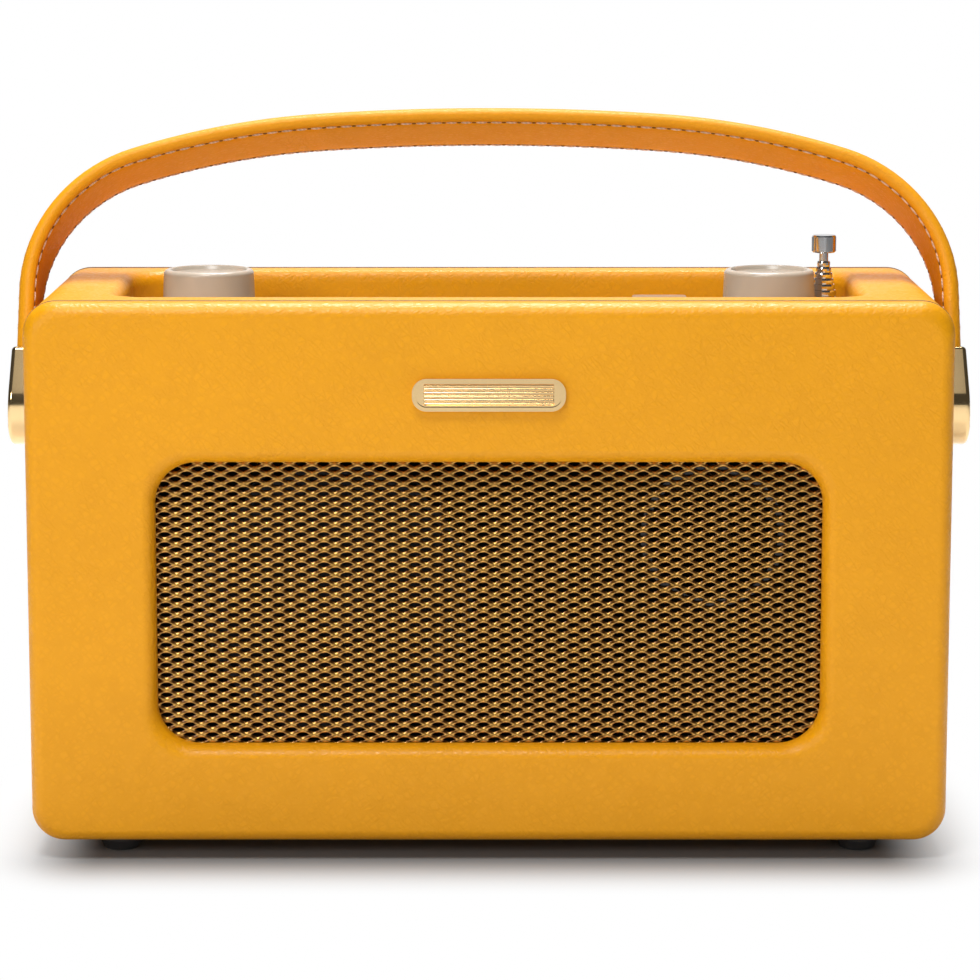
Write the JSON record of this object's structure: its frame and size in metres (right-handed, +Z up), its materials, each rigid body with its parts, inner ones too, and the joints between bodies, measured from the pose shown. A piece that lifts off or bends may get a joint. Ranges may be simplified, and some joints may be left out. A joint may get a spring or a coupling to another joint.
{
  "type": "portable radio",
  "caption": "Portable radio in a leathercloth cabinet with a front speaker grille, top controls, telescopic aerial and a pivoting strap handle.",
  "frame": {"origin": "on the surface it stands on, under the middle of the cabinet", "axes": "+X to the right of someone facing the grille, +Y to the back, +Z up; the grille faces -Y"},
  "size_m": [0.274, 0.1056, 0.2042],
  "materials": {
    "leathercloth": "grained, softly glossy",
    "strap_leather": "grained, stitched",
    "cabinet_board": "raw board",
    "baffle_board": "painted black",
    "gold_metal": "polished",
    "grille_metal": "satin gold",
    "port_plastic": "moulded",
    "speaker_steel": "satin black",
    "magnet_steel": "dark",
    "cone_paper": "pressed",
    "surround_rubber": "matt",
    "screw_steel": "plated",
    "panel_plastic": "fine texture",
    "display_glass": "smoked",
    "display_black": "black",
    "circuit_board": "green lacquer",
    "encoder_metal": "plain",
    "rotor_plastic": "plain",
    "knob_plastic": "satin beige",
    "key_plastic": "satin beige",
    "aerial_chrome": "bright",
    "battery_plastic": "moulded",
    "door_plastic": "moulded",
    "contact_metal": "nickel",
    "socket_plastic": "moulded",
    "pivot_steel": "plated",
    "foot_rubber": "smooth"
  },
  "bodies": {
    "cabinet": {"cabinet_sleeve": "cabinet_board", "cabinet_leathercloth": "leathercloth", "front_frame": "cabinet_board", "front_leathercloth": "leathercloth", "back_panel": "cabinet_board", "back_leathercloth": "leathercloth", "badge_plaque": "gold_metal", "speaker_grille": "grille_metal", "speaker_baffle": "baffle_board", "bass_port": "port_plastic", "speaker_basket": "speaker_steel", "speaker_magnet": "magnet_steel", "speaker_cone": "cone_paper", "speaker_surround": "surround_rubber", "speaker_screws": "screw_steel", "control_panel": "panel_plastic", "display_window": "display_glass", "display_module": "display_black", "control_board": "circuit_board", "volume_encoder": "encoder_metal", "tuning_encoder": "encoder_metal", "aerial_sleeve": "aerial_chrome", "main_board": "circuit_board", "battery_box": "battery_plastic", "battery_contacts": "contact_metal", "rear_socket_plate": "socket_plastic", "dc_inlet": "socket_plastic", "audio_jacks": "socket_plastic", "pivot_studs": "pivot_steel", "pivot_washers": "pivot_steel", "feet": "foot_rubber", "foot_screws": "screw_steel"},
    "handle": {"handle_strap": "strap_leather", "handle_lining": "strap_leather", "handle_cap_left": "gold_metal", "handle_cap_right": "gold_metal"},
    "battery_door": {"battery_door": "door_plastic"},
    "battery_latch": {"battery_latch": "battery_plastic"},
    "volume_rotor": {"volume_rotor": "rotor_plastic"},
    "volume_knob": {"volume_knob": "knob_plastic", "volume_spindle": "encoder_metal"},
    "tuning_rotor": {"tuning_rotor": "rotor_plastic"},
    "tuning_knob": {"tuning_knob": "knob_plastic", "tuning_spindle": "encoder_metal"},
    "preset_key_1": {"preset_key_1": "key_plastic"},
    "preset_key_2": {"preset_key_2": "key_plastic"},
    "preset_key_3": {"preset_key_3": "key_plastic"},
    "preset_key_4": {"preset_key_4": "key_plastic"},
    "function_key_1": {"function_key_1": "key_plastic"},
    "function_key_2": {"function_key_2": "key_plastic"},
    "function_key_3": {"function_key_3": "key_plastic"},
    "function_key_4": {"function_key_4": "key_plastic"},
    "aerial_tube_1": {"aerial_tube_1": "aerial_chrome"},
    "aerial_tube_2": {"aerial_tube_2": "aerial_chrome"},
    "aerial_tube_3": {"aerial_tube_3": "aerial_chrome"},
    "aerial_tube_4": {"aerial_tube_4": "aerial_chrome"},
    "aerial_tube_5": {"aerial_tube_5": "aerial_chrome"},
    "aerial_tube_6": {"aerial_tube_6": "aerial_chrome"},
    "aerial_rod": {"aerial_rod": "aerial_chrome"}
  },
  "joints": [
    {"name": "handle_pivot", "type": "hinge", "parent": "cabinet", "child": "handle", "pos_m": [0, 0, 0.1225], "axis": [-1, 0, 0], "range_deg": [-67, 17]},
    {"name": "battery_door_hinge", "type": "hinge", "parent": "cabinet", "child": "battery_door", "pos_m": [0, 0.04995, 0.03123], "axis": [-1, 0, 0], "range_deg": [0, 100]},
    {"name": "battery_latch_slide", "type": "slide", "parent": "battery_door", "child": "battery_latch", "axis": [0, 0, -1], "range_m": [0, 0.002], "stiffness_N_per_m": 300, "springref_m": -0.0005},
    {"name": "volume_turn", "type": "hinge", "parent": "cabinet", "child": "volume_rotor", "pos_m": [-0.08, 0, 0.1491], "axis": [0, 0, -1], "continuous": true},
    {"name": "volume_press", "type": "slide", "parent": "volume_rotor", "child": "volume_knob", "axis": [0, 0, -1], "range_m": [0, 0.0006], "stiffness_N_per_m": 5000, "springref_m": -0.0002},
    {"name": "tuning_turn", "type": "hinge", "parent": "cabinet", "child": "tuning_rotor", "pos_m": [0.08, 0, 0.1491], "axis": [0, 0, -1], "continuous": true},
    {"name": "tuning_press", "type": "slide", "parent": "tuning_rotor", "child": "tuning_knob", "axis": [0, 0, -1], "range_m": [0, 0.0006], "stiffness_N_per_m": 5000, "springref_m": -0.0002},
    {"name": "preset_key_1_press", "type": "slide", "parent": "cabinet", "child": "preset_key_1", "axis": [0, 0, -1], "range_m": [0, 0.0008], "stiffness_N_per_m": 2000, "springref_m": -0.0002},
    {"name": "preset_key_2_press", "type": "slide", "parent": "cabinet", "child": "preset_key_2", "axis": [0, 0, -1], "range_m": [0, 0.0008], "stiffness_N_per_m": 2000, "springref_m": -0.0002},
    {"name": "preset_key_3_press", "type": "slide", "parent": "cabinet", "child": "preset_key_3", "axis": [0, 0, -1], "range_m": [0, 0.0008], "stiffness_N_per_m": 2000, "springref_m": -0.0002},
    {"name": "preset_key_4_press", "type": "slide", "parent": "cabinet", "child": "preset_key_4", "axis": [0, 0, -1], "range_m": [0, 0.0008], "stiffness_N_per_m": 2000, "springref_m": -0.0002},
    {"name": "function_key_1_press", "type": "slide", "parent": "cabinet", "child": "function_key_1", "axis": [0, 0, -1], "range_m": [0, 0.0008], "stiffness_N_per_m": 2000, "springref_m": -0.0002},
    {"name": "function_key_2_press", "type": "slide", "parent": "cabinet", "child": "function_key_2", "axis": [0, 0, -1], "range_m": [0, 0.0008], "stiffness_N_per_m": 2000, "springref_m": -0.0002},
    {"name": "function_key_3_press", "type": "slide", "parent": "cabinet", "child": "function_key_3", "axis": [0, 0, -1], "range_m": [0, 0.0008], "stiffness_N_per_m": 2000, "springref_m": -0.0002},
    {"name": "function_key_4_press", "type": "slide", "parent": "cabinet", "child": "function_key_4", "axis": [0, 0, -1], "range_m": [0, 0.0008], "stiffness_N_per_m": 2000, "springref_m": -0.0002},
    {"name": "aerial_tube_1_slide", "type": "slide", "parent": "cabinet", "child": "aerial_tube_1", "axis": [0, 0, 1], "range_m": [0, 0.095]},
    {"name": "aerial_tube_2_slide", "type": "slide", "parent": "aerial_tube_1", "child": "aerial_tube_2", "axis": [0, 0, 1], "range_m": [0, 0.095]},
    {"name": "aerial_tube_3_slide", "type": "slide", "parent": "aerial_tube_2", "child": "aerial_tube_3", "axis": [0, 0, 1], "range_m": [0, 0.095]},
    {"name": "aerial_tube_4_slide", "type": "slide", "parent": "aerial_tube_3", "child": "aerial_tube_4", "axis": [0, 0, 1], "range_m": [0, 0.095]},
    {"name": "aerial_tube_5_slide", "type": "slide", "parent": "aerial_tube_4", "child": "aerial_tube_5", "axis": [0, 0, 1], "range_m": [0, 0.095]},
    {"name": "aerial_tube_6_slide", "type": "slide", "parent": "aerial_tube_5", "child": "aerial_tube_6", "axis": [0, 0, 1], "range_m": [0, 0.095]},
    {"name": "aerial_rod_slide", "type": "slide", "parent": "aerial_tube_6", "child": "aerial_rod", "axis": [0, 0, 1], "range_m": [0, 0.095]}
  ]
}
